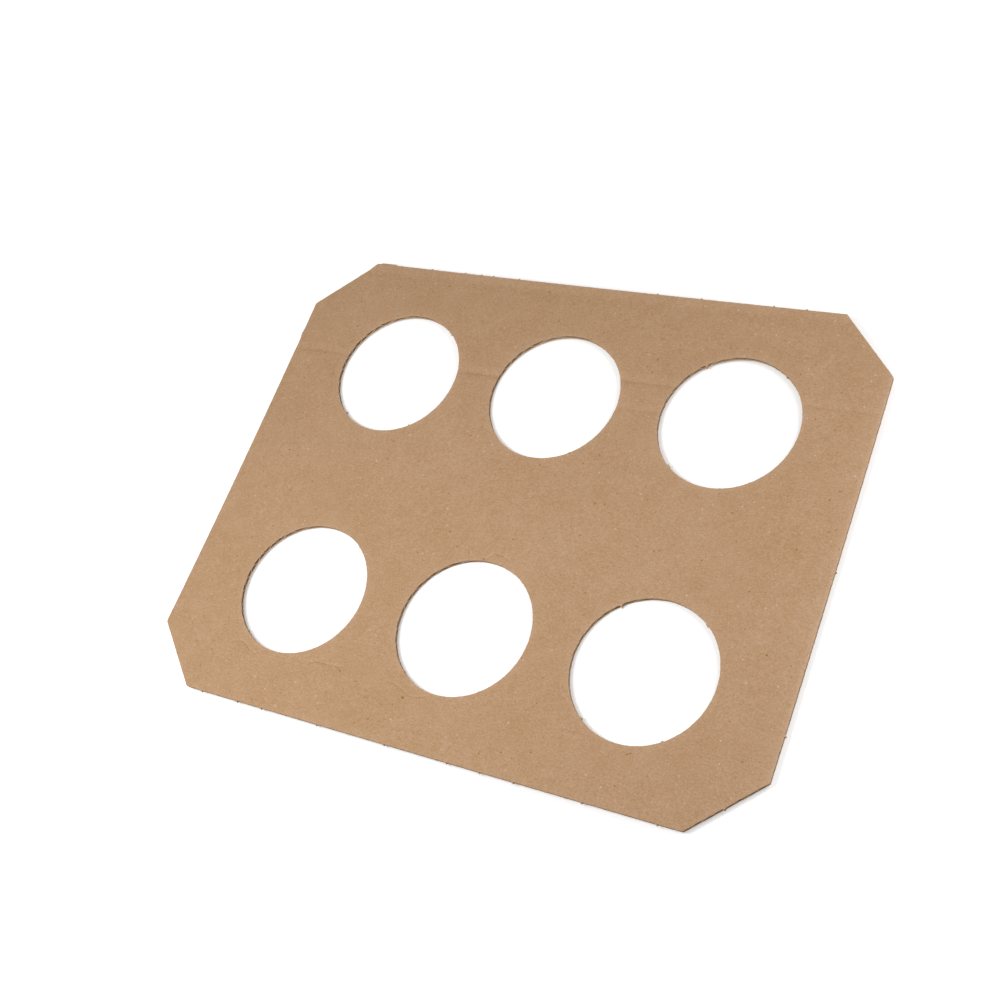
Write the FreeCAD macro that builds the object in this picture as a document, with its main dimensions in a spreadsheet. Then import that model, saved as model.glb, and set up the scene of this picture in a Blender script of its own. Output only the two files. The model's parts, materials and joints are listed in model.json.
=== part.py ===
import FreeCAD, Part
import os
import Sketcher
from FreeCAD import Placement, Rotation, Vector

# Cup carrier: one die-cut sheet of single-wall corrugated board with six cup holes.
# The sheet lies flat. X runs along its long side, Y to its back edge and Z up.
# The origin is the middle of the underside. All sizes are in millimetres.

SIZES = {
    # outline
    "board_length": 355.6,
    "board_depth": 278.4,
    "corner_cut": 32.1,
    # cup holes, in two rows of three
    "hole_radius": 38.1,
    "column_pitch": 101.8,
    "row_pitch": 139.2,
    # section of the board, whose flutes run along X
    "board_thickness": 2.8,
    "liner_thickness": 0.3,
    "medium_thickness": 0.25,
    "flute_pitch": 8.08,
    "glue_width": 1.5,
    # fold line across the back row of holes, over the air channel with this count from the middle
    "crease_channel": 10,
    "crease_width": 1.6,
    "crease_depth": 0.15,
}

# Expressions that several features share.
MEDIUM_TOP = "(sizes.board_thickness - sizes.liner_thickness)"
CHANNEL_FLOOR = "(sizes.liner_thickness + sizes.medium_thickness)"
HALF_FLUTES = "sizes.board_depth / 2 / sizes.flute_pitch"
# Channels stop where the next one would only graze the edge of the sheet.
UPPER_EACH_SIDE = f"floor({HALF_FLUTES} + 0.8)"
LOWER_EACH_SIDE = f"floor({HALF_FLUTES} + 0.3)"
CREASE_PLACE = "(sizes.crease_channel - 0.5) * sizes.flute_pitch"

# Parts of a sketch that a constraint can name.
START, END, CENTRE = 1, 2, 3
ORIGIN = (-1, 1)
X_AXIS, Y_AXIS = -1, -2


def origin_feature(body, role):
    return next(f for f in body.Origin.OriginFeatures if f.Role == role)


def plane_sketch(body, name, role, **lifts):
    """Makes a sketch on one of the body's own planes, moved there by expressions."""
    sketch = body.newObject("Sketcher::SketchObject", name)
    sketch.AttachmentSupport = [(origin_feature(body, role), "")]
    sketch.MapMode = "FlatFace"
    for axis, expression in lifts.items():
        sketch.setExpression(f"AttachmentOffset.Base.{axis}", expression)
    return sketch


def join(sketch, kind, *where):
    sketch.addConstraint(Sketcher.Constraint(kind, *where))


def drive(sketch, kind, *where, by):
    """Adds a dimension that follows an expression of the sizes."""
    now = float(sketch.evalExpression(by))
    index = sketch.addConstraint(Sketcher.Constraint(kind, *where, now))
    sketch.setExpression(f"Constraints[{index}]", by)


def line(sketch, here, there):
    return sketch.addGeometry(Part.LineSegment(Vector(*here), Vector(*there)))


def blank_sketch(body, name, height):
    """Outline of the sheet with its cut-off corners and its six holes."""
    sketch = plane_sketch(body, name, "XY_Plane", z=height)
    side = SIZES["board_length"] / 2
    back = SIZES["board_depth"] / 2
    cut = SIZES["corner_cut"]
    corners = [
        (side - cut, back),
        (side, back - cut),
        (side, cut - back),
        (side - cut, -back),
        (cut - side, -back),
        (-side, cut - back),
        (-side, back - cut),
        (cut - side, back),
    ]
    edges = [line(sketch, *pair) for pair in zip(corners, corners[1:] + corners[:1])]
    for edge in edges:
        join(sketch, "Coincident", edge, END, (edge + 1) % len(edges), START)
    drive(sketch, "DistanceX", *ORIGIN, 0, START, by="sizes.board_length / 2 - sizes.corner_cut")
    drive(sketch, "DistanceY", *ORIGIN, 0, START, by="sizes.board_depth / 2")
    drive(sketch, "DistanceX", *ORIGIN, 1, START, by="sizes.board_length / 2")
    drive(sketch, "DistanceY", *ORIGIN, 1, START, by="sizes.board_depth / 2 - sizes.corner_cut")
    for corner, twin in ((0, 3), (1, 2)):
        join(sketch, "Symmetric", corner, START, twin, START, X_AXIS)
    for corner, twin in ((0, 7), (1, 6), (2, 5), (3, 4)):
        join(sketch, "Symmetric", corner, START, twin, START, Y_AXIS)

    holes = {}
    for row in (1, -1):
        for column in (1, 0, -1):
            across = column * SIZES["column_pitch"]
            along = row * SIZES["row_pitch"] / 2
            circle = Part.Circle(Vector(across, along), Vector(0, 0, 1), SIZES["hole_radius"])
            holes[column, row] = sketch.addGeometry(circle)
    first = holes[1, 1]
    drive(sketch, "Radius", first, by="sizes.hole_radius")
    drive(sketch, "DistanceX", *ORIGIN, first, CENTRE, by="sizes.column_pitch")
    drive(sketch, "DistanceY", *ORIGIN, first, CENTRE, by="sizes.row_pitch / 2")
    for hole in list(holes.values())[1:]:
        join(sketch, "Equal", first, hole)
    join(sketch, "Symmetric", first, CENTRE, holes[-1, 1], CENTRE, Y_AXIS)
    join(sketch, "PointOnObject", holes[0, 1], CENTRE, Y_AXIS)
    join(sketch, "Horizontal", first, CENTRE, holes[0, 1], CENTRE)
    for column in (1, 0, -1):
        join(sketch, "Symmetric", holes[column, 1], CENTRE, holes[column, -1], CENTRE, X_AXIS)
    return sketch


def layer(body, name, height, thickness):
    """Pads one layer of the board: a liner, or the block that the flutes are cut from."""
    pad = body.newObject("PartDesign::Pad", name)
    pad.Profile = blank_sketch(body, name + "_outline", height)
    pad.setExpression("Length", thickness)
    pad.Refine = False
    return pad


def channel_sketch(body, name, **lifts):
    """Section of one air channel between the medium and the liner above it.

    The medium is glued to a liner along a flat strip at each of its bends. Its flank
    lies between this channel and the next one, which is the same section upside down,
    so the next channel's corner is one medium thickness away from this flank.
    """
    sketch = plane_sketch(body, name, "YZ_Plane", **lifts)
    foot = SIZES["glue_width"] / 2
    floor_height = SIZES["liner_thickness"] + SIZES["medium_thickness"]
    mouth_height = SIZES["board_thickness"] - SIZES["liner_thickness"]
    next_foot = SIZES["flute_pitch"] / 2 - foot
    # the mouth's width is a first guess, which the constraints then settle
    brim = next_foot

    mouth = line(sketch, (-brim, mouth_height), (brim, mouth_height))
    right = line(sketch, (brim, mouth_height), (foot, floor_height))
    floor = line(sketch, (foot, floor_height), (-foot, floor_height))
    left = line(sketch, (-foot, floor_height), (-brim, mouth_height))
    corner = sketch.addGeometry(Part.Point(Vector(next_foot, mouth_height - floor_height)), True)

    for edge, following in ((mouth, right), (right, floor), (floor, left), (left, mouth)):
        join(sketch, "Coincident", edge, END, following, START)
    join(sketch, "Symmetric", mouth, START, mouth, END, Y_AXIS)
    join(sketch, "Symmetric", floor, START, floor, END, Y_AXIS)
    drive(sketch, "DistanceY", *ORIGIN, mouth, END, by=MEDIUM_TOP)
    drive(sketch, "DistanceY", *ORIGIN, floor, START, by=CHANNEL_FLOOR)
    drive(sketch, "DistanceX", floor, END, floor, START, by="sizes.glue_width")
    drive(sketch, "DistanceX", *ORIGIN, corner, START, by="(sizes.flute_pitch - sizes.glue_width) / 2")
    drive(sketch, "DistanceY", *ORIGIN, corner, START, by="sizes.board_thickness - " + CHANNEL_FLOOR)
    drive(sketch, "Distance", corner, START, right, by="sizes.medium_thickness")
    return sketch


def cut_along_board(body, name, sketch, side="both"):
    """Cuts a section along X, through the whole board or through one half of it."""
    pocket = body.newObject("PartDesign::Pocket", name)
    pocket.Profile = sketch
    if side == "both":
        pocket.SideType = "Symmetric"
        pocket.setExpression("Length", "sizes.board_length")
    else:
        pocket.Reversed = side == "right"
        pocket.setExpression("Length", "sizes.board_length / 2")
    pocket.Refine = False
    return pocket


def repeat_flutes(body, name, pocket, count):
    pattern = body.newObject("PartDesign::LinearPattern", name)
    pattern.Originals = [pocket]
    pattern.Direction = (origin_feature(body, "Y_Axis"), [""])
    pattern.Mode = "Spacing"
    pattern.setExpression("Offset", "sizes.flute_pitch")
    pattern.setExpression("Occurrences", count)
    pattern.Refine = False
    body.Tip = pattern
    return pattern


def crease_sketch(body, name, place):
    """Shallow V that the fold line leaves in the upper liner."""
    sketch = plane_sketch(body, name, "YZ_Plane", x=place, y="sizes.board_thickness")
    half = SIZES["crease_width"] / 2
    depth = SIZES["crease_depth"]
    brim = line(sketch, (-half, 0), (half, 0))
    right = line(sketch, (half, 0), (0, -depth))
    left = line(sketch, (0, -depth), (-half, 0))
    join(sketch, "Coincident", brim, END, right, START)
    join(sketch, "Coincident", right, END, left, START)
    join(sketch, "Coincident", left, END, brim, START)
    join(sketch, "Symmetric", brim, START, brim, END, *ORIGIN)
    join(sketch, "PointOnObject", brim, END, X_AXIS)
    join(sketch, "PointOnObject", right, END, Y_AXIS)
    drive(sketch, "DistanceX", brim, START, brim, END, by="sizes.crease_width")
    drive(sketch, "DistanceY", right, END, *ORIGIN, by="sizes.crease_depth")
    return sketch


def make_board(doc):
    board = doc.addObject("PartDesign::Body", "carrier_board")
    board.Label = "carrier_board"

    layer(board, "lower_liner", "0", "sizes.liner_thickness")
    layer(board, "medium", "sizes.liner_thickness", "sizes.board_thickness - 2 * sizes.liner_thickness")

    # channels under the upper liner lie half a pitch either side of the middle
    first_upper = f"-({UPPER_EACH_SIDE} - 0.5) * sizes.flute_pitch"
    upper_section = channel_sketch(board, "upper_channel_section", x=first_upper)
    upper = cut_along_board(board, "upper_channel", upper_section)
    repeat_flutes(board, "upper_channels", upper, f"2 * {UPPER_EACH_SIDE}")

    # the same section upside down makes the channels over the lower liner, one in the middle
    first_lower = f"-{LOWER_EACH_SIDE} * sizes.flute_pitch"
    lower_section = channel_sketch(
        board, "lower_channel_section", x=first_lower, y="sizes.board_thickness"
    )
    turned = Placement(lower_section.AttachmentOffset.Base, Rotation(Vector(0, 0, 1), 180))
    lower_section.AttachmentOffset = turned
    lower = cut_along_board(board, "lower_channel", lower_section)
    repeat_flutes(board, "lower_channels", lower, f"2 * {LOWER_EACH_SIDE} + 1")

    layer(board, "upper_liner", MEDIUM_TOP, "sizes.liner_thickness")
    # the fold follows one channel on the left and the next one on the right,
    # and changes over inside the middle hole
    left_section = crease_sketch(board, "left_crease_section", CREASE_PLACE)
    cut_along_board(board, "left_crease", left_section, "left")
    right_section = crease_sketch(board, "right_crease_section", CREASE_PLACE + " + sizes.flute_pitch")
    board.Tip = cut_along_board(board, "right_crease", right_section, "right")
    return board


def check(doc, bodies):
    for thing in doc.Objects:
        if "Invalid" in thing.State or "Error" in thing.State:
            raise RuntimeError(f"{thing.Name} failed: {thing.State}")
    for body in bodies:
        if body.Shape.isNull() or not body.Shape.isValid() or len(body.Shape.Solids) != 1:
            raise RuntimeError(f"{body.Label} is not one valid solid")
        # the board is mostly air between its liners
        sheet_volume = body.Shape.BoundBox.XLength * body.Shape.BoundBox.YLength
        sheet_volume *= body.Shape.BoundBox.ZLength
        print(body.Label, "volume", round(body.Shape.Volume), "of a block of", round(sheet_volume))


doc = FreeCAD.newDocument("cup_carrier")
sizes = doc.addObject("Spreadsheet::Sheet", "sizes")
for row, (alias, value) in enumerate(SIZES.items(), start=1):
    sizes.set(f"A{row}", alias)
    sizes.set(f"B{row}", str(value))
    sizes.setAlias(f"B{row}", alias)
doc.recompute()

bodies = [make_board(doc)]
doc.recompute()
check(doc, bodies)

os.makedirs("parts", exist_ok=True)
for body in bodies:
    body.Shape.exportStep(f"parts/{body.Label}.step")
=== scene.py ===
import json
import math

import bpy
import numpy as np
from mathutils import Matrix, Vector
from mathutils.geometry import delaunay_2d_cdt


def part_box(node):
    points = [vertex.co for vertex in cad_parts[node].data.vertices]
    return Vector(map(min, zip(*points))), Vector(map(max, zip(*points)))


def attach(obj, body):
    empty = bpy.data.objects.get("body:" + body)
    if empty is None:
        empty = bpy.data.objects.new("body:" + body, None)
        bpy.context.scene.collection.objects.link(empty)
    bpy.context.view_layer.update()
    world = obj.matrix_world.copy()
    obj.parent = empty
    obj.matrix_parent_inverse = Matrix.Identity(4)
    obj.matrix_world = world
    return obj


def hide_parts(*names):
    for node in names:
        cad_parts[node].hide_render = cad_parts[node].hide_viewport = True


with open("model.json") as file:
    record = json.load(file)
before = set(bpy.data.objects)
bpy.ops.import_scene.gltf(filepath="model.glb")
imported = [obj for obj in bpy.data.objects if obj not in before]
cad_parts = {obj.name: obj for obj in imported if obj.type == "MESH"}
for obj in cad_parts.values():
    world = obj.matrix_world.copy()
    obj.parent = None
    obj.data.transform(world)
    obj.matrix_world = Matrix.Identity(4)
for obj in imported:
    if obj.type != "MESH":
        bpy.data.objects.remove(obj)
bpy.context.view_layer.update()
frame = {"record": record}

# The sheet's mesh is worked out in millimetres and turned into metres when it is stored.

MM = 0.001

# Sizes of the board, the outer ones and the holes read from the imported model
board_low, board_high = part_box("carrier_board")
half_length = (board_high.x - board_low.x) / MM / 2
half_depth = (board_high.y - board_low.y) / MM / 2
thickness = (board_high.z - board_low.z) / MM
holes = [
    (mount["pos_m"][0] / MM, mount["pos_m"][1] / MM, mount["dims"]["r_mm"])
    for mount in frame["record"]["mounts"]
    if "r_mm" in mount.get("dims", {})
]
corner_cut = 32.1
liner_thickness = 0.3
medium_thickness = 0.25
flute_pitch = 8.08

# Bow of the whole sheet: rise in millimetres at 100 mm from the middle
bow_along = 0.40
bow_across = 1.08
bow_twist = 0.37

# The back edge is lifted over its last millimetres, with a slight dip in front of that
back_lift = 0.60
back_lift_width = 5.2
back_dip = 0.10
back_dip_gap = 1.0
back_dip_width = 2.2

# Relief of the liners: depths, and how far they reach from the cuts
washboard = 0.014
waviness = 0.02
rim_drop = 0.13
rim_drop_reach = 1.9
side_drop = 0.18
side_drop_reach = 2.2
side_drop_stop = 8
side_drop_fade = 4
end_pinch = 0.20
end_pinch_reach = 1.5

# The lower liner is flatter, its unevenness taken from another place of the same pattern
lower_waviness = 0.4
lower_shift_x = 31
lower_shift_y = 57
lower_rim_lift = 0.03
lower_rim_reach = 1.2

# The pressed fold line, one flute further back on the right half, and a short fainter one
fold_depth = 0.42
left_fold = 76.5
right_fold = 85.5
fold_front_reach = 1.1
fold_back_width = 5.2
fold_waver = 0.25
fold_waver_length = 9.0
fold_waver_shift = 0.1
fold_fade = 0.4
fold_fade_start = 60
fold_fade_length = 80
faint_fold = 68.9
faint_fold_span = (38.0, 66.0)
faint_fold_share = 0.4
# How strongly the fainter fold gets the folds' painted shade and highlight
faint_fold_painted_light = 0.9

# Wrinkles of the liner, each its strength and a line of places that it runs through
wrinkles = [
    [0.9, (-129.5, -108.4), (-127.2, -107.2), (-124.0, -107.0), (-120.5, -108.6), (-117.0, -110.8)],
    [0.3, (-104.0, -112.0), (-97.0, -112.4), (-90.0, -112.0), (-84.0, -111.6)],
    [0.9, (-78.2, -109.2), (-75.6, -107.3), (-71.0, -107.0), (-66.0, -107.2), (-60.0, -106.8)],
    [
        0.8, (-29.2, -107.3), (-25.0, -107.9), (-20.2, -109.4), (-14.8, -111.8), (-11.8, -112.1),
        (-4.0, -109.7),
    ],
    [0.9, (-4.4, -30.2), (-2.0, -30.7), (-0.9, -29.1), (1.2, -26.7), (6.0, -26.9), (10.5, -28.6)],
    [0.4, (73.0, -107.7), (80.0, -107.4), (87.0, -107.8)],
    [1.2, (-13.4, -28.0), (-12.8, -29.6)],
]
wrinkle_depth = 0.10
wrinkle_width = 0.5
wrinkle_step = 0.3
wrinkle_margin = 1.6
wrinkle_reach = 1.5

# Single marks: x, y, radius and how many levels paler or darker they are
marks = [
    (-17.1, -113.7, 0.75, -22), (-143.0, 7.0, 0.8, -18), (89.0, -7.0, 0.8, -18), (52.0, 100.0, 0.8, -18),
    (-40.0, 38.0, 0.7, -16), (70.0, 26.0, 0.7, -16), (46.0, 12.0, 0.9, -14), (-144.0, 62.0, 1.3, -10),
    (-77.0, 32.0, 0.8, 20), (-36.0, -7.0, 0.7, 18), (144.0, 127.0, 0.7, 18), (153.0, -64.0, 0.8, 18),
    (-66.0, -125.0, 0.7, 18), (-28.0, 30.0, 0.7, 16),
]
mark_rings = ((0.5, 6), (1.0, 10), (1.5, 12))
mark_edge = 1.5
mark_clear = 0.6

# Paler bands along the cuts, levels paler and how far each reaches: near the holes and the sides the
# board is drawn paler; the right band and the back band are painted highlight, the right rim is pale
# frayed fibres with painted highlight
rim_paler = 6.5
rim_paler_reach = 1.7
side_paler = 4.2
side_paler_reach = 1.9
right_band_painted_light = 3.0
right_band_width = 13
right_rim_fibres_and_highlight = 13.0
right_rim_reach = 0.8
back_band_painted_highlight = 1.4
back_band_width = 5.4
back_band_fade = 1.6

# Painted shade and highlight along the folds: a dark line of painted shade with a soft painted-shade
# foot in front, a pale band of painted highlight behind
fold_painted_shade = 3.6
fold_dark_place = 0.9
fold_dark_width = 0.8
fold_foot_painted_shade = 1.6
fold_foot_reach = 1.8
fold_foot_start = 0.8
fold_painted_highlight = 2.4
right_fold_extra_highlight = 0.6
fold_pale_start = 0.6
fold_pale_rise = 0.8
fold_pale_end = 5.4
fold_pale_fall = 2

# Painted shade and highlight along the wrinkles: painted shade just in front of the line, painted
# highlight just behind it
wrinkle_painted_shade = 12.0
wrinkle_dark_place = 0.30
wrinkle_dark_width = 0.40
wrinkle_painted_highlight = 9.0
wrinkle_pale_place = 0.5
wrinkle_pale_width = 0.45

# Nicks left by the cutting die, as small teeth that stand proud of the cut
nick_width = 0.7
nick_proud = 0.65
hole_nick_angles = (53.0, 127.0, 232.0, 305.0)
hole_nick_jitter = 1.5
hole_nick_sizes = (0.6, 1.2)
widest_nick = 1.3
tuft_angle = 127.0
tuft_size = 1.7
quiet_nicks = 0.35
middle_column = 50
back_nicks = (-107, -84, -73, -65, -48, 39, 65, 106, 124)
front_nicks = (-136, -112, -96, -60, -18, 19, 38, 57, 94, 133)
right_nicks = (-84, 0.0)
corner_nick = (161.0, -123.9)
ragged_back = (-143.7, -131.5)
ragged_proud = 0.6

# Where the fold meets the left side: y, half width and how far the cut is pushed off the sheet
fold_end_bumps = ((80.2, 1.9, -0.2), (85.2, 1.9, 0.30), (87.0, 1.9, 0.25))

# Form of a tooth along the cut, and the slight waver of every cut
tooth_slope = 1.35
tooth_steps = (-0.95, -0.6, -0.25, 0.1, 0.45, 0.8)
tooth_spread = 1.5
wide_nick = 2
wide_nick_step = 0.9
wide_nick_shift = 0.2
cut_waver = 0.032
cut_waves = (23, 57, 131)
cut_wave_stretch = 240

# Mesh steps, with the rows that follow the cuts and how clear of the cuts each grid stays
edge_step = 1.1
edge_row_step = 1.15
edge_row_growth = 0.25
top_insets = (0.35, 0.95, 1.8)
under_insets = (0.5, 1.4)
top_step = 2.5
top_clear = 2.5
rows_per_flute = 8
fold_zone = (73.0, 81.5, 89.5)
fold_zone_margin = 0.5
fold_step = 0.4
fold_clear = 1.5
back_zone = 7.6
back_step = 0.8
under_step = 3.0
under_clear = 2.3
under_rows_per_flute = 5
under_row_count = 80
hidden_step = 12.0
hidden_clear = 3.0
hidden_row_count = 11
smooth_angle = 38

# The fluted medium: the form of its wave, its rows and its cut ends
flute_crest = 1.15
flute_round = 0.15
flute_slope_round = 0.45
medium_rows = 10
medium_inset = 0.03
medium_fray = 1.7
near_tangent = 0.985
short_pieces = 6
long_pieces = 24

# Slow unevenness of the liners: ripples, each with its own length, direction and phase
seed = 11
ripple_count = 14
ripple_range = (0.10, 0.32)
rng = np.random.default_rng(seed)
ripples = [
    (rng.uniform(*ripple_range), rng.uniform(0, math.tau), rng.uniform(0, math.tau))
    for number in range(ripple_count)
]


def smooth(u):
    u = np.clip(u, 0, 1)
    return u * u * (3 - 2 * u)


def from_sides(x, y):
    """Distance from the nearest outer side, positive on the sheet."""
    r = math.sqrt(0.5)
    reach = (half_length + half_depth - corner_cut) * r
    slanted = reach - np.abs(x) * r - np.abs(y) * r
    return np.minimum(np.minimum(half_length - np.abs(x), half_depth - np.abs(y)), slanted)


def from_holes(x, y):
    """Distance from the nearest hole, positive on the sheet."""
    return np.min([np.hypot(x - cx, y - cy) - r for cx, cy, r in holes], axis=0)


def from_cuts(x, y):
    return np.minimum(from_sides(x, y), from_holes(x, y))


def groove(y, bottom, depth):
    """A pressed fold line: steep on its front side and gentle on its back side."""
    u = y - bottom
    front = np.exp(np.minimum(u, 0) / fold_front_reach)
    back = smooth(1 - np.maximum(u, 0) / fold_back_width)
    return depth * np.where(u < 0, front, back)


def bow(x, y):
    """Height of the whole sheet above a flat one."""
    a, b = x / 100, y / 100
    rise = bow_along * a * a + bow_across * b * b + bow_twist * a * b
    rise += back_lift * smooth((y - half_depth + back_lift_width) / back_lift_width)
    from_dip = y - half_depth + back_lift_width + back_dip_gap
    rise -= back_dip * np.exp(-(from_dip / back_dip_width) ** 2)
    return rise


def ripple(x, y):
    """Slow unevenness of the liner."""
    total = 0 * x
    for number, turn, phase in ripples:
        total = total + np.sin(number * (x * math.cos(turn) + y * math.sin(turn)) + phase)
    return waviness * total / math.sqrt(len(ripples))


def upper_face(x, y):
    z = thickness + washboard * np.cos(math.tau * y / flute_pitch) + ripple(x, y)
    z = z - rim_drop * np.exp(-np.maximum(from_holes(x, y), 0) / rim_drop_reach)
    front = smooth((half_depth - side_drop_stop - y) / side_drop_fade)
    z = z - side_drop * front * np.exp(-np.maximum(from_sides(x, y), 0) / side_drop_reach)
    z = z - groove(y, fold_line(x), fold_depth * fold_strength(x))
    z = z - np.where(in_faint_fold(x), groove(y, faint_fold, faint_fold_share * fold_depth), 0)
    side, strength = to_wrinkle(x, y)
    return z - pinch(x) - wrinkle_depth * strength * np.exp(-(side / wrinkle_width) ** 2)


def pinch(x):
    """How far the flutes' open ends are pressed together at the two short sides."""
    return end_pinch * np.exp(-np.maximum(half_length - np.abs(x), 0) / end_pinch_reach)


def to_wrinkle(x, y):
    """Signed distance from the nearest wrinkle, positive behind it, and that wrinkle's strength."""
    nearest = np.full(np.shape(x), 9.0)
    strength = np.zeros(np.shape(x))
    for much, *line in wrinkles:
        for (x0, y0), (x1, y1) in zip(line[:-1], line[1:]):
            long = math.hypot(x1 - x0, y1 - y0)
            t = np.clip(((x - x0) * (x1 - x0) + (y - y0) * (y1 - y0)) / long ** 2, 0, 1)
            away_x, away_y = x - x0 - t * (x1 - x0), y - y0 - t * (y1 - y0)
            gap = np.hypot(away_x, away_y)
            behind = np.where((x1 - x0) * away_y - (y1 - y0) * away_x > 0, 1, -1)
            strength = np.where(gap < np.abs(nearest), much, strength)
            nearest = np.where(gap < np.abs(nearest), gap * behind, nearest)
    return nearest, strength


def fold_strength(x):
    """The fold is plainer near the middle of the sheet than at its ends."""
    return 1 - fold_fade * smooth((np.abs(x) - fold_fade_start) / fold_fade_length)


def fold_line(x):
    """Where the fold runs: one flute further back on the right half, with a slight waver."""
    middle = np.where(x < 0, left_fold, right_fold)
    return middle + fold_waver * np.sin(x / fold_waver_length) - fold_waver_shift


def in_faint_fold(x):
    return (x > faint_fold_span[0]) & (x < faint_fold_span[1])


def painted_light_and_marks(x, y):
    """How many levels paler or darker the upper face is than plain board: painted shade and highlight
    along the folds and wrinkles, painted highlight along the right side and the back edge, paler bands
    near the cuts, and single marks.
    """
    rim = np.maximum(from_holes(x, y), 0)
    side = np.maximum(from_sides(x, y), 0)
    right = half_length - x
    tone = rim_paler * np.exp(-rim / rim_paler_reach) + side_paler * np.exp(-side / side_paler_reach)
    # The right band and the back band are painted highlight, the right rim pale frayed fibres with
    # painted highlight
    tone = tone + right_band_painted_light * smooth(1 - right / right_band_width)
    tone = tone + right_rim_fibres_and_highlight * np.exp(-np.maximum(right, 0) / right_rim_reach)
    tone = tone + back_band_painted_highlight * smooth((y - half_depth + back_band_width) / back_band_fade)
    # The folds' dark line and foot are painted shade, the pale band behind them painted highlight
    faint = faint_fold_painted_light * in_faint_fold(x)
    pale = fold_painted_highlight + right_fold_extra_highlight * (x > 0)
    for line, strength in ((fold_line(x), fold_strength(x)), (faint_fold, faint)):
        u = y - line
        tone = tone - strength * fold_painted_shade * np.exp(-((u + fold_dark_place) / fold_dark_width) ** 2)
        foot = np.exp(-np.maximum(-u, 0) / fold_foot_reach)
        tone = tone - strength * fold_foot_painted_shade * foot * (u < -fold_foot_start)
        rise = smooth((u + fold_pale_start) / fold_pale_rise)
        tone = tone + strength * pale * rise * smooth((fold_pale_end - u) / fold_pale_fall)
    # The wrinkles' dark side is painted shade, their pale side painted highlight
    u, strength = to_wrinkle(x, y)
    dark = np.exp(-((u + wrinkle_dark_place) / wrinkle_dark_width) ** 2)
    pale = np.exp(-((u - wrinkle_pale_place) / wrinkle_pale_width) ** 2)
    tone = tone - strength * wrinkle_painted_shade * dark
    tone = tone + strength * wrinkle_painted_highlight * pale
    for cx, cy, radius, levels in marks:
        tone = tone + levels * smooth(mark_edge - np.hypot(x - cx, y - cy) / radius)
    return tone


def lower_face(x, y):
    z = washboard * (1 + np.cos(math.tau * y / flute_pitch))
    z = z + lower_waviness * np.abs(ripple(x + lower_shift_x, y - lower_shift_y))
    return z + lower_rim_lift * np.exp(-np.maximum(from_cuts(x, y), 0) / lower_rim_reach) + pinch(x)


def place(x, y, level):
    """Real height of a point that is at this level in a flat board."""
    low, high = lower_face(x, y), upper_face(x, y)
    return low + (high - low) * level / thickness + bow(x, y)


def tooth(s, centre, width, proud):
    u = np.abs(s - centre) / width
    return proud * smooth((1 - u) * max(tooth_slope, width))


def loop(point_at, length, nicks):
    """Points along a closed cut, with the nicks pushed off the sheet and a slight waver."""
    s = np.arange(0, length, length / round(length / edge_step))
    for centre, width, proud in nicks:
        s = s[np.abs(s - centre) > width]
        teeth = np.array(tooth_steps) * min(width, nick_width * tooth_spread)
        s = np.append(s, centre + teeth)
        if width > wide_nick:
            between = np.arange(centre - width, centre + width, wide_nick_step)
            s = np.append(s, between + wide_nick_shift)
    s = np.unique(np.round(s % length, 3))
    off = sum(tooth(s, *nick) for nick in nicks) if nicks else 0 * s
    for waves in cut_waves:
        turns = round(waves * length / cut_wave_stretch)
        off = off + cut_waver * np.sin(math.tau * turns * s / length + rng.uniform(0, math.tau))
    x, y, out_x, out_y = point_at(s)
    return np.c_[x + off * out_x, y + off * out_y]


def circle_at(cx, cy, radius):
    """A hole's edge, run clockwise so that the sheet is on its left."""
    def point_at(s):
        turn = -s / radius
        return cx + radius * np.cos(turn), cy + radius * np.sin(turn), -np.cos(turn), -np.sin(turn)
    return point_at


def outline_at(inset):
    """The outer edge, run anticlockwise, moved onto the sheet by the inset."""
    a, b = half_length - inset, half_depth - inset
    c = corner_cut + inset * (math.sqrt(2) - 2)
    corners = [(a, -b + c), (a, b - c), (a - c, b), (-a + c, b)]
    corners += [(-a, b - c), (-a, -b + c), (-a + c, -b), (a - c, -b)]
    corners = np.array(corners + corners[:1])
    steps = np.diff(corners, axis=0)
    lengths = np.hypot(steps[:, 0], steps[:, 1])
    starts = np.r_[0, np.cumsum(lengths)]
    ways = steps / lengths[:, None]

    def point_at(s):
        side = np.clip(np.searchsorted(starts, s, side="right") - 1, 0, len(lengths) - 1)
        p = corners[side] + (s - starts[side])[:, None] * ways[side]
        return p[:, 0], p[:, 1], ways[side][:, 1], -ways[side][:, 0]

    def arc_of(x, y):
        along = ((np.array((x, y)) - corners[:-1]) * ways).sum(1)
        foot = corners[:-1] + np.clip(along, 0, lengths)[:, None] * ways
        near = np.hypot(*(foot - (x, y)).T).argmin()
        return starts[near] + along[near]

    return point_at, starts[-1], arc_of


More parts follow.
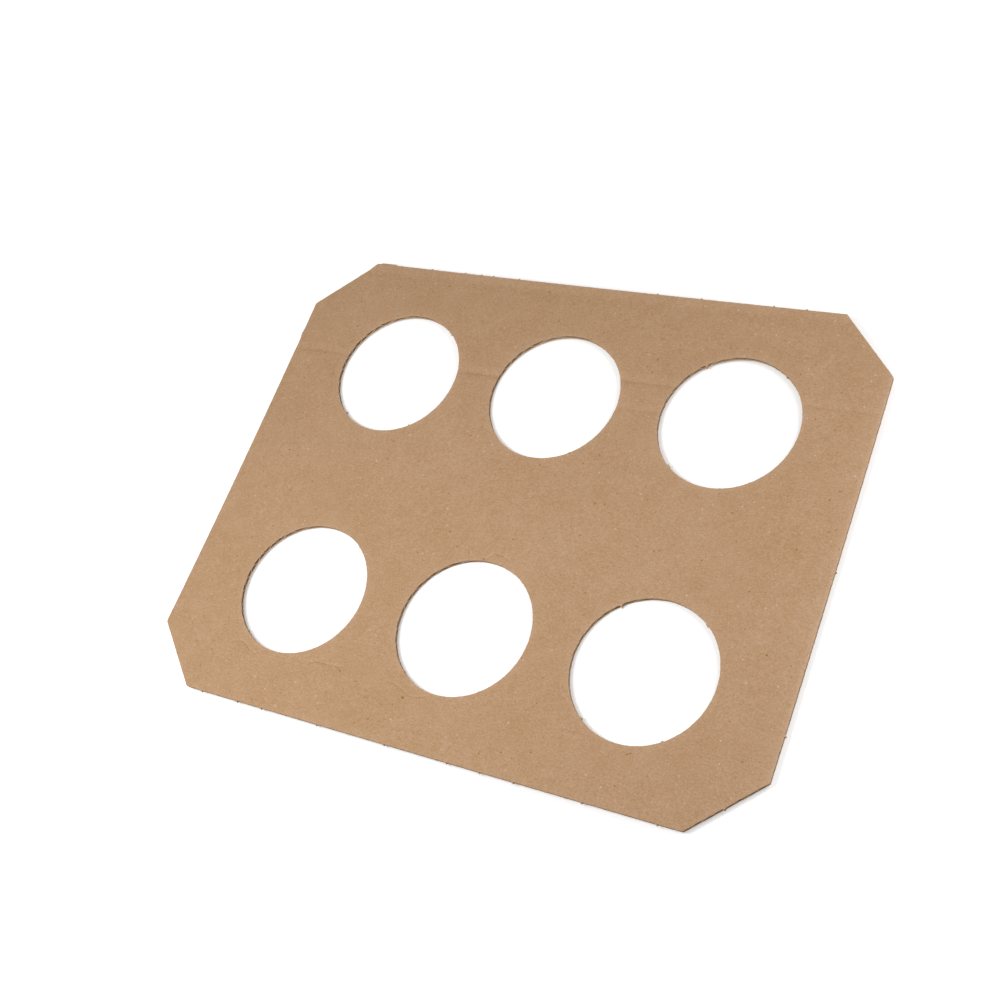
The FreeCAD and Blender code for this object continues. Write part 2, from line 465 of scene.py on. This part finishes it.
def cut_loops():
    """The outer edge and the six holes, with their nicks."""
    point_at, length, arc_of = outline_at(0)
    nicks = [(arc_of(x, half_depth), nick_width, nick_proud) for x in back_nicks]
    nicks += [(arc_of(x, -half_depth), nick_width, nick_proud) for x in front_nicks]
    nicks += [(arc_of(half_length, y), nick_width, nick_proud) for y in right_nicks]
    nicks += [(arc_of(*corner_nick), nick_width, nick_proud)]
    nicks += [(arc_of(-half_length, y), width, proud) for y, width, proud in fold_end_bumps]
    middle = sum(ragged_back) / 2
    nicks += [(arc_of(middle, half_depth), (ragged_back[1] - ragged_back[0]) / 2, ragged_proud)]
    found = [loop(point_at, length, nicks)]
    for cx, cy, radius in holes:
        nicks = []
        quiet = quiet_nicks if abs(cx) < middle_column or (cx < 0 and cy < 0) else 1.0
        for angle in hole_nick_angles:
            has_tuft = cx > middle_column and angle == tuft_angle
            size = tuft_size if has_tuft else rng.uniform(*hole_nick_sizes)
            jitter = rng.uniform(-hole_nick_jitter, hole_nick_jitter)
            arc = math.radians(-angle - jitter) % math.tau * radius
            nicks.append((arc, nick_width * min(size, widest_nick), nick_proud * size * quiet))
        found.append(loop(circle_at(cx, cy, radius), math.tau * radius, nicks))
    return found


def near_edges(insets):
    """Points in rows that follow the cuts, for the rolled-over rim, wider apart further in."""
    rows = []
    for number, inset in enumerate(insets):
        step = edge_step * (edge_row_step + edge_row_growth * number)
        shift = 0.5 * edge_step * (number % 2)
        point_at, length = outline_at(inset)[:2]
        s = np.arange(0, length, length / round(length / step)) + shift
        rows.append(np.c_[point_at(s % length)[:2]])
        for cx, cy, radius in holes:
            ring = radius + inset
            s = np.arange(0, math.tau * ring, math.tau * ring / round(math.tau * ring / step))
            rows.append(np.c_[circle_at(cx, cy, ring)(s + shift)[:2]])
    return np.vstack(rows)


def near_marks():
    """Close points round the wrinkles and single marks, to give them their form."""
    found = []
    for much, *line in wrinkles:
        x0, y0 = np.min(line, axis=0) - wrinkle_margin
        x1, y1 = np.max(line, axis=0) + wrinkle_margin
        x, y = np.meshgrid(np.arange(x0, x1, wrinkle_step), np.arange(y0, y1, wrinkle_step))
        close = np.abs(to_wrinkle(x, y)[0]) < wrinkle_reach
        found.append(np.c_[x[close], y[close]])
    for cx, cy, radius, levels in marks:
        found.append(np.array([(cx, cy)]))
        for ring, count in mark_rings:
            turn = np.arange(count) * math.tau / count + ring
            found.append(np.c_[cx + ring * radius * np.cos(turn), cy + ring * radius * np.sin(turn)])
    points = np.vstack(found)
    return points[from_cuts(*points.T) > mark_clear]


def grid(step_x, rows_y, clear):
    """Grid points that lie on the sheet and clear of its cuts, some rows shifted."""
    count = int(half_length // step_x)
    xs = np.arange(-count, count + 1) * step_x
    x, y = np.meshgrid(xs, rows_y)
    x, y = x.ravel(), y.ravel()
    x = x + 0.25 * step_x * (np.round(y * 50) % 2)
    return np.c_[x, y][from_cuts(x, y) > clear]


def inside_loop(points, ring):
    """Even-odd test of points against a closed ring."""
    x, y = points[:, :1], points[:, 1:]
    x0, y0 = ring[:, 0], ring[:, 1]
    x1, y1 = np.roll(x0, -1), np.roll(y0, -1)
    crosses = (y0 > y) != (y1 > y)
    with np.errstate(divide="ignore", invalid="ignore"):
        at = x0 + (y - y0) * (x1 - x0) / (y1 - y0)
    return (crosses & (at > x)).sum(1) % 2 == 1


def triangulate(loops, extra):
    """Triangles of the sheet between its cuts: points, triangles and each loop's point numbers."""
    flat = np.vstack(loops + [extra])
    edges, owner, start = [], np.full(len(flat), -1), 0
    for number, ring in enumerate(loops):
        n = len(ring)
        edges += [(start + i, start + (i + 1) % n) for i in range(n)]
        owner[start:start + n] = number
        start += n
    found = delaunay_2d_cdt([Vector(p) for p in flat.tolist()], edges, [], 0, 1e-5, True)
    points = np.array([tuple(p) for p in found[0]])
    faces = np.array(found[2])
    label = np.full(len(points), -1)
    number_of = np.zeros(len(flat), int)
    for new, olds in enumerate(found[3]):
        for old in olds:
            number_of[old] = new
            if owner[old] >= 0:
                label[new] = owner[old]

    # Only a triangle with all its corners on one loop can lie off the sheet
    keep = np.ones(len(faces), bool)
    owners = label[faces]
    for number, ring in enumerate(loops):
        same = np.nonzero((owners == number).all(1))[0]
        centres = points[faces[same]].mean(1)
        within = inside_loop(centres, ring)
        keep[same] = within if number == 0 else ~within
    rings, start = [], 0
    for ring in loops:
        rings.append(number_of[start:start + len(ring)])
        start += len(ring)
    faces = faces[keep]
    a, b, c = points[faces[:, 0]], points[faces[:, 1]], points[faces[:, 2]]
    turn = (b[:, 0] - a[:, 0]) * (c[:, 1] - a[:, 1]) - (b[:, 1] - a[:, 1]) * (c[:, 0] - a[:, 0])
    faces[turn < 0] = faces[turn < 0][:, ::-1]
    return points, faces, rings


class Stack:
    """Collects points and faces of the layers."""

    def __init__(self):
        self.points, self.faces, self.finish, self.tone, self.count = [], [], [], [], 0

    def add(self, points, tone=None):
        first = self.count
        self.points.append(points)
        self.tone.append(np.zeros(len(points)) if tone is None else tone)
        self.count += len(points)
        return first

    def face(self, rows, finish):
        self.faces += rows.tolist()
        self.finish += [finish] * len(rows)


# Numbers of the three materials on the mesh
FACE, INSIDE, CUT = 0, 1, 2


def liner(stack, loops, top_extra, top_level, top_finish, under_extra, under_level, under_finish):
    """One closed liner: its two faces and the thin cut all round."""
    points, faces, rings = triangulate(loops, top_extra)
    x, y = points.T
    # The upper face's tone carries painted shade and highlight as well as paler bands and single marks
    top = stack.add(np.c_[x, y, place(x, y, top_level)], painted_light_and_marks(x, y) if top_finish == FACE else None)
    stack.face(faces + top, top_finish)
    points, faces, under_rings = triangulate(loops, under_extra)
    x, y = points.T
    under = stack.add(np.c_[x, y, place(x, y, under_level)])
    stack.face(faces[:, ::-1] + under, under_finish)
    for ring, under_ring in zip(rings, under_rings):
        a, b = ring + top, under_ring + under
        stack.face(np.c_[b, np.roll(b, -1), np.roll(a, -1), a], CUT)


def wave(y):
    """Middle of the medium, as a level in a flat board, and its slope."""
    swing = (thickness - 2 * liner_thickness - medium_thickness) / 2
    turn = math.tau * y / flute_pitch
    c = np.cos(turn)
    slope = -swing * (flute_crest - flute_slope_round * c * c) * np.sin(turn) * math.tau / flute_pitch
    return thickness / 2 + swing * c * (flute_crest - flute_round * c * c), slope


def fluted_medium(stack):
    """The wavy sheet between the liners, its cut ends frayed a little thicker."""
    count = math.ceil(half_depth / flute_pitch * medium_rows)
    rows = np.arange(-count, count + 1) * flute_pitch / medium_rows
    touches = (-1, -near_tangent, near_tangent, 1)
    tangents = [cy + side * (r + medium_inset) for cx, cy, r in holes for side in touches]
    ends = [side * (half_depth - cut) for side in (-1, 1) for cut in (medium_inset, corner_cut)]
    rows = np.unique(np.round(np.r_[rows, tangents, ends], 3))
    rows = rows[np.abs(rows) <= half_depth - medium_inset + 1e-6]

    def sides(y, middle):
        """Where the sheet starts and stops at y, for the strip that holds the middle."""
        reach = min(half_length, half_length + half_depth - corner_cut - abs(y)) - medium_inset
        stops = [-reach]
        for cx, cy, r in sorted(holes):
            if abs(middle - cy) < r + medium_inset:
                half = math.sqrt(max((r + medium_inset) ** 2 - (y - cy) ** 2, 0))
                stops += [cx - half, cx + half]
        return stops + [reach]

    for y0, y1 in zip(rows[:-1], rows[1:]):
        middle = (y0 + y1) / 2
        low, high = sides(y0, middle), sides(y1, middle)
        for i in range(0, len(low), 2):
            pieces = short_pieces if len(low) > 2 else long_pieces
            t = np.r_[0, 0.01, 0.06, np.linspace(0.2, 0.8, pieces), 0.94, 0.99, 1]
            x = np.r_[low[i] + (low[i + 1] - low[i]) * t, high[i] + (high[i + 1] - high[i]) * t]
            y = np.r_[t * 0 + y0, t * 0 + y1]
            level, slope = wave(y)
            half = medium_thickness / 2 * np.sqrt(1 + slope ** 2)
            n = len(t)
            half[[0, n - 1, n, 2 * n - 1]] *= medium_fray
            k = np.arange(n - 1)
            top = stack.add(np.c_[x, y, place(x, y, level + half)])
            under = stack.add(np.c_[x, y, place(x, y, level - half)])
            stack.face(np.c_[k, k + 1, k + 1 + n, k + n] + top, INSIDE)
            stack.face(np.c_[k + n, k + 1 + n, k + 1, k] + under, INSIDE)
            first = np.array([[0 + top, n + top, n + under, 0 + under]])
            last = np.array([[2 * n - 1 + top, n - 1 + top, n - 1 + under, 2 * n - 1 + under]])
            stack.face(first, CUT)
            stack.face(last, CUT)


def make_board():
    loops = cut_loops()
    reach = round(half_depth / flute_pitch * rows_per_flute)
    top_rows = np.arange(-reach, reach + 1) * flute_pitch / rows_per_flute
    start, middle, end = fold_zone
    fold_rows = np.r_[np.arange(start, middle, fold_step), np.arange(middle, end, fold_step)]
    before = top_rows < fold_rows[0] - fold_zone_margin
    after = top_rows > fold_rows[-1] + fold_zone_margin
    back_rows = np.arange(half_depth - back_zone, half_depth, back_step)
    top_rows = np.r_[top_rows[before | after], fold_rows, back_rows]
    top_rows = np.unique(np.round(top_rows[np.abs(top_rows) < half_depth], 2))
    top_points = np.vstack([near_edges(top_insets), grid(top_step, top_rows, top_clear), near_marks()])
    under_rows = np.arange(-under_row_count, under_row_count + 1) * flute_pitch / under_rows_per_flute
    under_points = np.vstack([near_edges(under_insets), grid(under_step, under_rows, under_clear)])
    hidden_rows = np.arange(-hidden_row_count, hidden_row_count + 1) * hidden_step
    hidden = grid(hidden_step, hidden_rows, hidden_clear)

    # The upper liner's inner face follows the fold, or it would show through the groove
    clear_rows = hidden_rows[(hidden_rows < fold_rows[0]) | (hidden_rows > fold_rows[-1])]
    in_fold = grid(hidden_step / 2, fold_rows[::2], fold_clear)
    under_fold = np.vstack([grid(hidden_step, clear_rows, hidden_clear), in_fold])

    stack = Stack()
    top = thickness
    liner(stack, loops, top_points, top, FACE, under_fold, top - liner_thickness, INSIDE)
    liner(stack, loops, hidden, liner_thickness, INSIDE, under_points, 0.0, FACE)
    fluted_medium(stack)
    points = np.vstack(stack.points) * MM
    mesh = bpy.data.meshes.new("corrugated_board")
    mesh.from_pydata(points.tolist(), [], stack.faces)
    mesh.polygons.foreach_set("material_index", stack.finish)
    mesh.polygons.foreach_set("use_smooth", [True] * len(stack.faces))
    tone = mesh.attributes.new("tone", "FLOAT", "POINT")
    tone.data.foreach_set("value", np.concatenate(stack.tone))
    mesh.update()
    mesh.set_sharp_from_angle(angle=math.radians(smooth_angle))
    board = bpy.data.objects.new("corrugated_board", mesh)
    bpy.context.scene.collection.objects.link(board)
    return board


# Colours of the board in linear light, the tints that the noises add, and what one level is worth
kraft = (0.481, 0.298, 0.169)
inside_kraft = (0.54, 0.352, 0.210)
cut_kraft = (0.63, 0.470, 0.320)
grain_tint = (0.700, 0.630, 0.590)
hue_tint = (0.045, -0.012, -0.035)
one_level = 0.0076

# The paper's fibres: each layer's direction in degrees and a shift of its pattern
fibre_layers = ((12, 0.3), (63, 1.1), (-41, 2.7), (-78, 4.2))
fibre_stretch = (0.22, 1, 1)


class Nodes:
    """Short calls for a material's nodes."""

    def __init__(self, name):
        self.material = bpy.data.materials.new(name)
        self.material.use_nodes = True
        self.tree = self.material.node_tree
        self.shader = self.tree.nodes["Principled BSDF"]
        self.where = self.tree.nodes.new("ShaderNodeTexCoord").outputs["Object"]

    def put(self, value, socket):
        if isinstance(value, bpy.types.NodeSocket):
            self.tree.links.new(value, socket)
        else:
            socket.default_value = value

    def maths(self, operation, first, second=0.0, third=0.0, clamp=False):
        node = self.tree.nodes.new("ShaderNodeMath")
        node.operation = operation
        node.use_clamp = clamp
        for value, socket in zip((first, second, third), node.inputs):
            self.put(value, socket)
        return node.outputs[0]

    def moved(self, turn=0.0, stretch=(1, 1, 1), shift=(0, 0, 0)):
        node = self.tree.nodes.new("ShaderNodeMapping")
        self.put(self.where, node.inputs["Vector"])
        node.inputs["Rotation"].default_value = (0, 0, math.radians(turn))
        node.inputs["Scale"].default_value = stretch
        node.inputs["Location"].default_value = shift
        return node.outputs[0]

    def attribute(self, name):
        node = self.tree.nodes.new("ShaderNodeAttribute")
        node.attribute_name = name
        return node.outputs["Fac"]

    def noise(self, size_mm, detail, roughness, where=None):
        """Noise around zero, its features about this size."""
        node = self.tree.nodes.new("ShaderNodeTexNoise")
        self.put(where or self.where, node.inputs["Vector"])
        node.inputs["Scale"].default_value = 1 / (size_mm * MM)
        node.inputs["Detail"].default_value = detail
        node.inputs["Roughness"].default_value = roughness
        return self.maths("SUBTRACT", node.outputs["Fac"], 0.5)

    def specks(self, cell_mm, size_mm, where):
        """Scattered spots, 1 at their middle and 0 outside, with their strength varied."""
        node = self.tree.nodes.new("ShaderNodeTexVoronoi")
        self.put(where, node.inputs["Vector"])
        node.inputs["Scale"].default_value = 1 / (cell_mm * MM)
        reach = size_mm / cell_mm
        near = self.maths("SUBTRACT", reach, node.outputs["Distance"])
        spot = self.maths("MULTIPLY", near, 1.6 / reach, clamp=True)
        split = self.tree.nodes.new("ShaderNodeSeparateColor")
        self.put(node.outputs["Color"], split.inputs[0])
        return self.maths("MULTIPLY", spot, self.maths("MULTIPLY_ADD", split.outputs[0], 0.8, 0.3))

    def add(self, *terms):
        """Sum of (value, gain) pairs."""
        total = self.maths("MULTIPLY", *terms[0])
        for value, gain in terms[1:]:
            total = self.maths("MULTIPLY_ADD", value, gain, total)
        return total

    def tinted(self, base, amount, tint):
        """The base colour plus the amount times the tint."""
        node = self.tree.nodes.new("ShaderNodeMix")
        node.data_type = "RGBA"
        node.clamp_factor = False
        self.put(amount, node.inputs["Factor"])
        if isinstance(base, bpy.types.NodeSocket):
            node.blend_type = "ADD"
            self.put(base, node.inputs["A"])
            node.inputs["B"].default_value = (*tint, 1)
        else:
            node.inputs["A"].default_value = (*base, 1)
            node.inputs["B"].default_value = (*(b + t for b, t in zip(base, tint)), 1)
        return node.outputs["Result"]

    def bump(self, height, depth_mm, strength):
        node = self.tree.nodes.new("ShaderNodeBump")
        node.inputs["Distance"].default_value = depth_mm * MM
        node.inputs["Strength"].default_value = strength
        self.put(height, node.inputs["Height"])
        self.put(node.outputs[0], self.shader.inputs["Normal"])

    def finish(self, colour, roughness, specular):
        self.put(colour, self.shader.inputs["Base Color"])
        self.shader.inputs["Roughness"].default_value = roughness
        self.shader.inputs["Specular IOR Level"].default_value = specular
        return self.material


def fibres(n, size_mm):
    """Short paper fibres laid in four directions."""
    layers = []
    for turn, shift in fibre_layers:
        where = n.moved(turn, fibre_stretch, (shift, shift, shift))
        layers.append((n.noise(size_mm, 1.0, 0.6, where), 0.5))
    return n.add(*layers)


def kraft_face():
    """The liners' plain kraft face: mottle, grain, fibres and flecks, plus the tone on the mesh, which
    holds painted shade and highlight as well as single marks.
    """
    n = Nodes("kraft_face")
    slow = n.noise(60, 2.0, 0.6)
    mottle = n.noise(11, 3.0, 1.0, n.moved(shift=(0.7, 0.2, 0.4)))
    grain = n.noise(0.85, 1.0, 0.9)
    thread = fibres(n, 0.55)
    light = n.specks(5.5, 0.62, n.moved(20, shift=(0.31, 0.12, 0.0)))
    dark = n.specks(5.5, 0.62, n.moved(50, shift=(0.9, 0.5, 0.0023)))
    amount = n.add((slow, 0.06), (mottle, 0.15), (grain, 0.31), (thread, 0.13))
    # The tone attribute adds painted shade and highlight along with the paler bands and single marks
    amount = n.add((amount, 1.0), (light, 0.26), (dark, -0.24), (n.attribute("tone"), one_level))
    colour = n.tinted(kraft, amount, grain_tint)
    hue = n.noise(2.4, 2.0, 0.9, n.moved(shift=(3.3, 1.2, 0.8)))
    colour = n.tinted(colour, hue, hue_tint)
    n.bump(n.add((grain, 0.6), (thread, 0.6), (mottle, 0.3)), 0.10, 0.30)
    return n.finish(colour, 0.92, 0.18)


def kraft_inside():
    """Unlit inner faces and the fluted medium, a little browner than the liner's face."""
    n = Nodes("kraft_inside")
    amount = n.add((n.noise(3.0, 3.0, 0.8), 0.2), (fibres(n, 0.6), 0.1))
    colour = n.tinted(inside_kraft, amount, grain_tint)
    n.bump(n.noise(0.7, 2.0, 0.8), 0.1, 0.4)
    return n.finish(colour, 0.95, 0.15)


def kraft_cut():
    """Cut edges, where torn fibres look paler and rougher."""
    n = Nodes("kraft_cut")
    amount = n.add((n.noise(0.5, 2.0, 0.9), 0.35), (n.noise(4.0, 2.0, 0.7), 0.2))
    colour = n.tinted(cut_kraft, amount, grain_tint)
    n.bump(n.noise(0.3, 2.0, 0.8), 0.15, 0.8)
    return n.finish(colour, 0.96, 0.12)


board = make_board()
for material in (kraft_face(), kraft_inside(), kraft_cut()):
    board.data.materials.append(material)
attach(board, "root")
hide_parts("carrier_board")

# Floor and sky: white to the camera, with the sheet's own soft shadow kept
floor_side = 4.0
floor_level = -0.00005
floor_colour = 0.90
floor_glow = 0.28
far_glow = 1.0
glow_start = 0.12
glow_end = 0.42
sky_strength = 0.31


def seen_directly(tree):
    """1 for camera, glossy and transmission rays, 0 for the others."""
    path = tree.nodes.new("ShaderNodeLightPath")
    first = tree.nodes.new("ShaderNodeMath")
    first.operation = "MAXIMUM"
    second = tree.nodes.new("ShaderNodeMath")
    second.operation = "MAXIMUM"
    tree.links.new(path.outputs["Is Camera Ray"], first.inputs[0])
    tree.links.new(path.outputs["Is Glossy Ray"], first.inputs[1])
    tree.links.new(first.outputs[0], second.inputs[0])
    tree.links.new(path.outputs["Is Transmission Ray"], second.inputs[1])
    return second.outputs[0]


def make_floor():
    mesh = bpy.data.meshes.new("studio_floor")
    side, level = floor_side, floor_level
    corners = [(-side, -side, level), (side, -side, level), (side, side, level), (-side, side, level)]
    mesh.from_pydata(corners, [], [(0, 1, 2, 3)])
    floor = bpy.data.objects.new("studio_floor", mesh)
    bpy.context.scene.collection.objects.link(floor)
    material = bpy.data.materials.new("studio_floor")
    material.use_nodes = True
    tree = material.node_tree
    tree.nodes.clear()
    matt = tree.nodes.new("ShaderNodeBsdfDiffuse")
    matt.inputs["Color"].default_value = (floor_colour, floor_colour, floor_colour, 1)
    glow = tree.nodes.new("ShaderNodeEmission")
    strength = tree.nodes.new("ShaderNodeMath")
    strength.operation = "MULTIPLY"
    where = tree.nodes.new("ShaderNodeTexCoord")
    away = tree.nodes.new("ShaderNodeVectorMath")
    away.operation = "LENGTH"
    tree.links.new(where.outputs["Object"], away.inputs[0])
    fade = tree.nodes.new("ShaderNodeMapRange")
    fade.interpolation_type = "SMOOTHSTEP"
    fade.inputs["From Min"].default_value = glow_start
    fade.inputs["From Max"].default_value = glow_end
    fade.inputs["To Min"].default_value = floor_glow
    fade.inputs["To Max"].default_value = far_glow
    tree.links.new(away.outputs["Value"], fade.inputs["Value"])
    tree.links.new(seen_directly(tree), strength.inputs[0])
    tree.links.new(fade.outputs["Result"], strength.inputs[1])
    tree.links.new(strength.outputs[0], glow.inputs["Strength"])
    both = tree.nodes.new("ShaderNodeAddShader")
    tree.links.new(matt.outputs[0], both.inputs[0])
    tree.links.new(glow.outputs[0], both.inputs[1])
    out = tree.nodes.new("ShaderNodeOutputMaterial")
    tree.links.new(both.outputs[0], out.inputs["Surface"])
    mesh.materials.append(material)


def make_sky():
    world = bpy.data.worlds.new("studio")
    bpy.context.scene.world = world
    world.use_nodes = True
    tree = world.node_tree
    tree.nodes.clear()
    strength = tree.nodes.new("ShaderNodeMath")
    strength.operation = "MULTIPLY_ADD"
    strength.inputs[1].default_value = 1 - sky_strength
    strength.inputs[2].default_value = sky_strength
    tree.links.new(seen_directly(tree), strength.inputs[0])
    background = tree.nodes.new("ShaderNodeBackground")
    background.inputs["Color"].default_value = (1, 1, 1, 1)
    tree.links.new(strength.outputs[0], background.inputs["Strength"])
    out = tree.nodes.new("ShaderNodeOutputWorld")
    tree.links.new(background.outputs[0], out.inputs["Surface"])


def make_lamp(name, spot, aim, size, power):
    data = bpy.data.lights.new(name, "AREA")
    data.shape = "DISK"
    data.size = size
    data.energy = power
    lamp = bpy.data.objects.new(name, data)
    lamp.location = spot
    lamp.rotation_euler = (Vector(aim) - Vector(spot)).to_track_quat("-Z", "Y").to_euler()
    lamp.visible_camera = False
    bpy.context.scene.collection.objects.link(lamp)


make_floor()
make_sky()
make_lamp("front_left_lamp", spot=(-0.16, -0.18, 0.51), aim=(-0.15, -0.08, 0.0), size=0.28, power=1.97)
make_lamp("right_lamp", spot=(0.37, 0.10, 0.30), aim=(0.15, -0.08, 0.0), size=0.22, power=0.67)

# Camera at the photograph's angle: its place in metres, its directions and its lens in millimetres
camera_place = (0.36867, -0.25912, 0.65750)
camera_forward = (-0.470558, 0.328779, -0.818828)
camera_right = (0.866512, 0.347323, -0.358501)
camera_lens = 53.90
sensor_width = 36.0
nearest_seen = 0.01

data = bpy.data.cameras.new("camera")
data.lens = camera_lens
data.sensor_width = sensor_width
data.sensor_fit = "HORIZONTAL"
data.clip_start = nearest_seen
camera = bpy.data.objects.new("camera", data)
bpy.context.scene.collection.objects.link(camera)
back = -Vector(camera_forward).normalized()
right = Vector(camera_right).normalized()
up = back.cross(right).normalized()
turn = Matrix((right, up, back)).transposed().to_4x4()
camera.matrix_world = Matrix.Translation(camera_place) @ turn
bpy.context.scene.camera = camera
bpy.context.scene.view_settings.view_transform = "Standard"
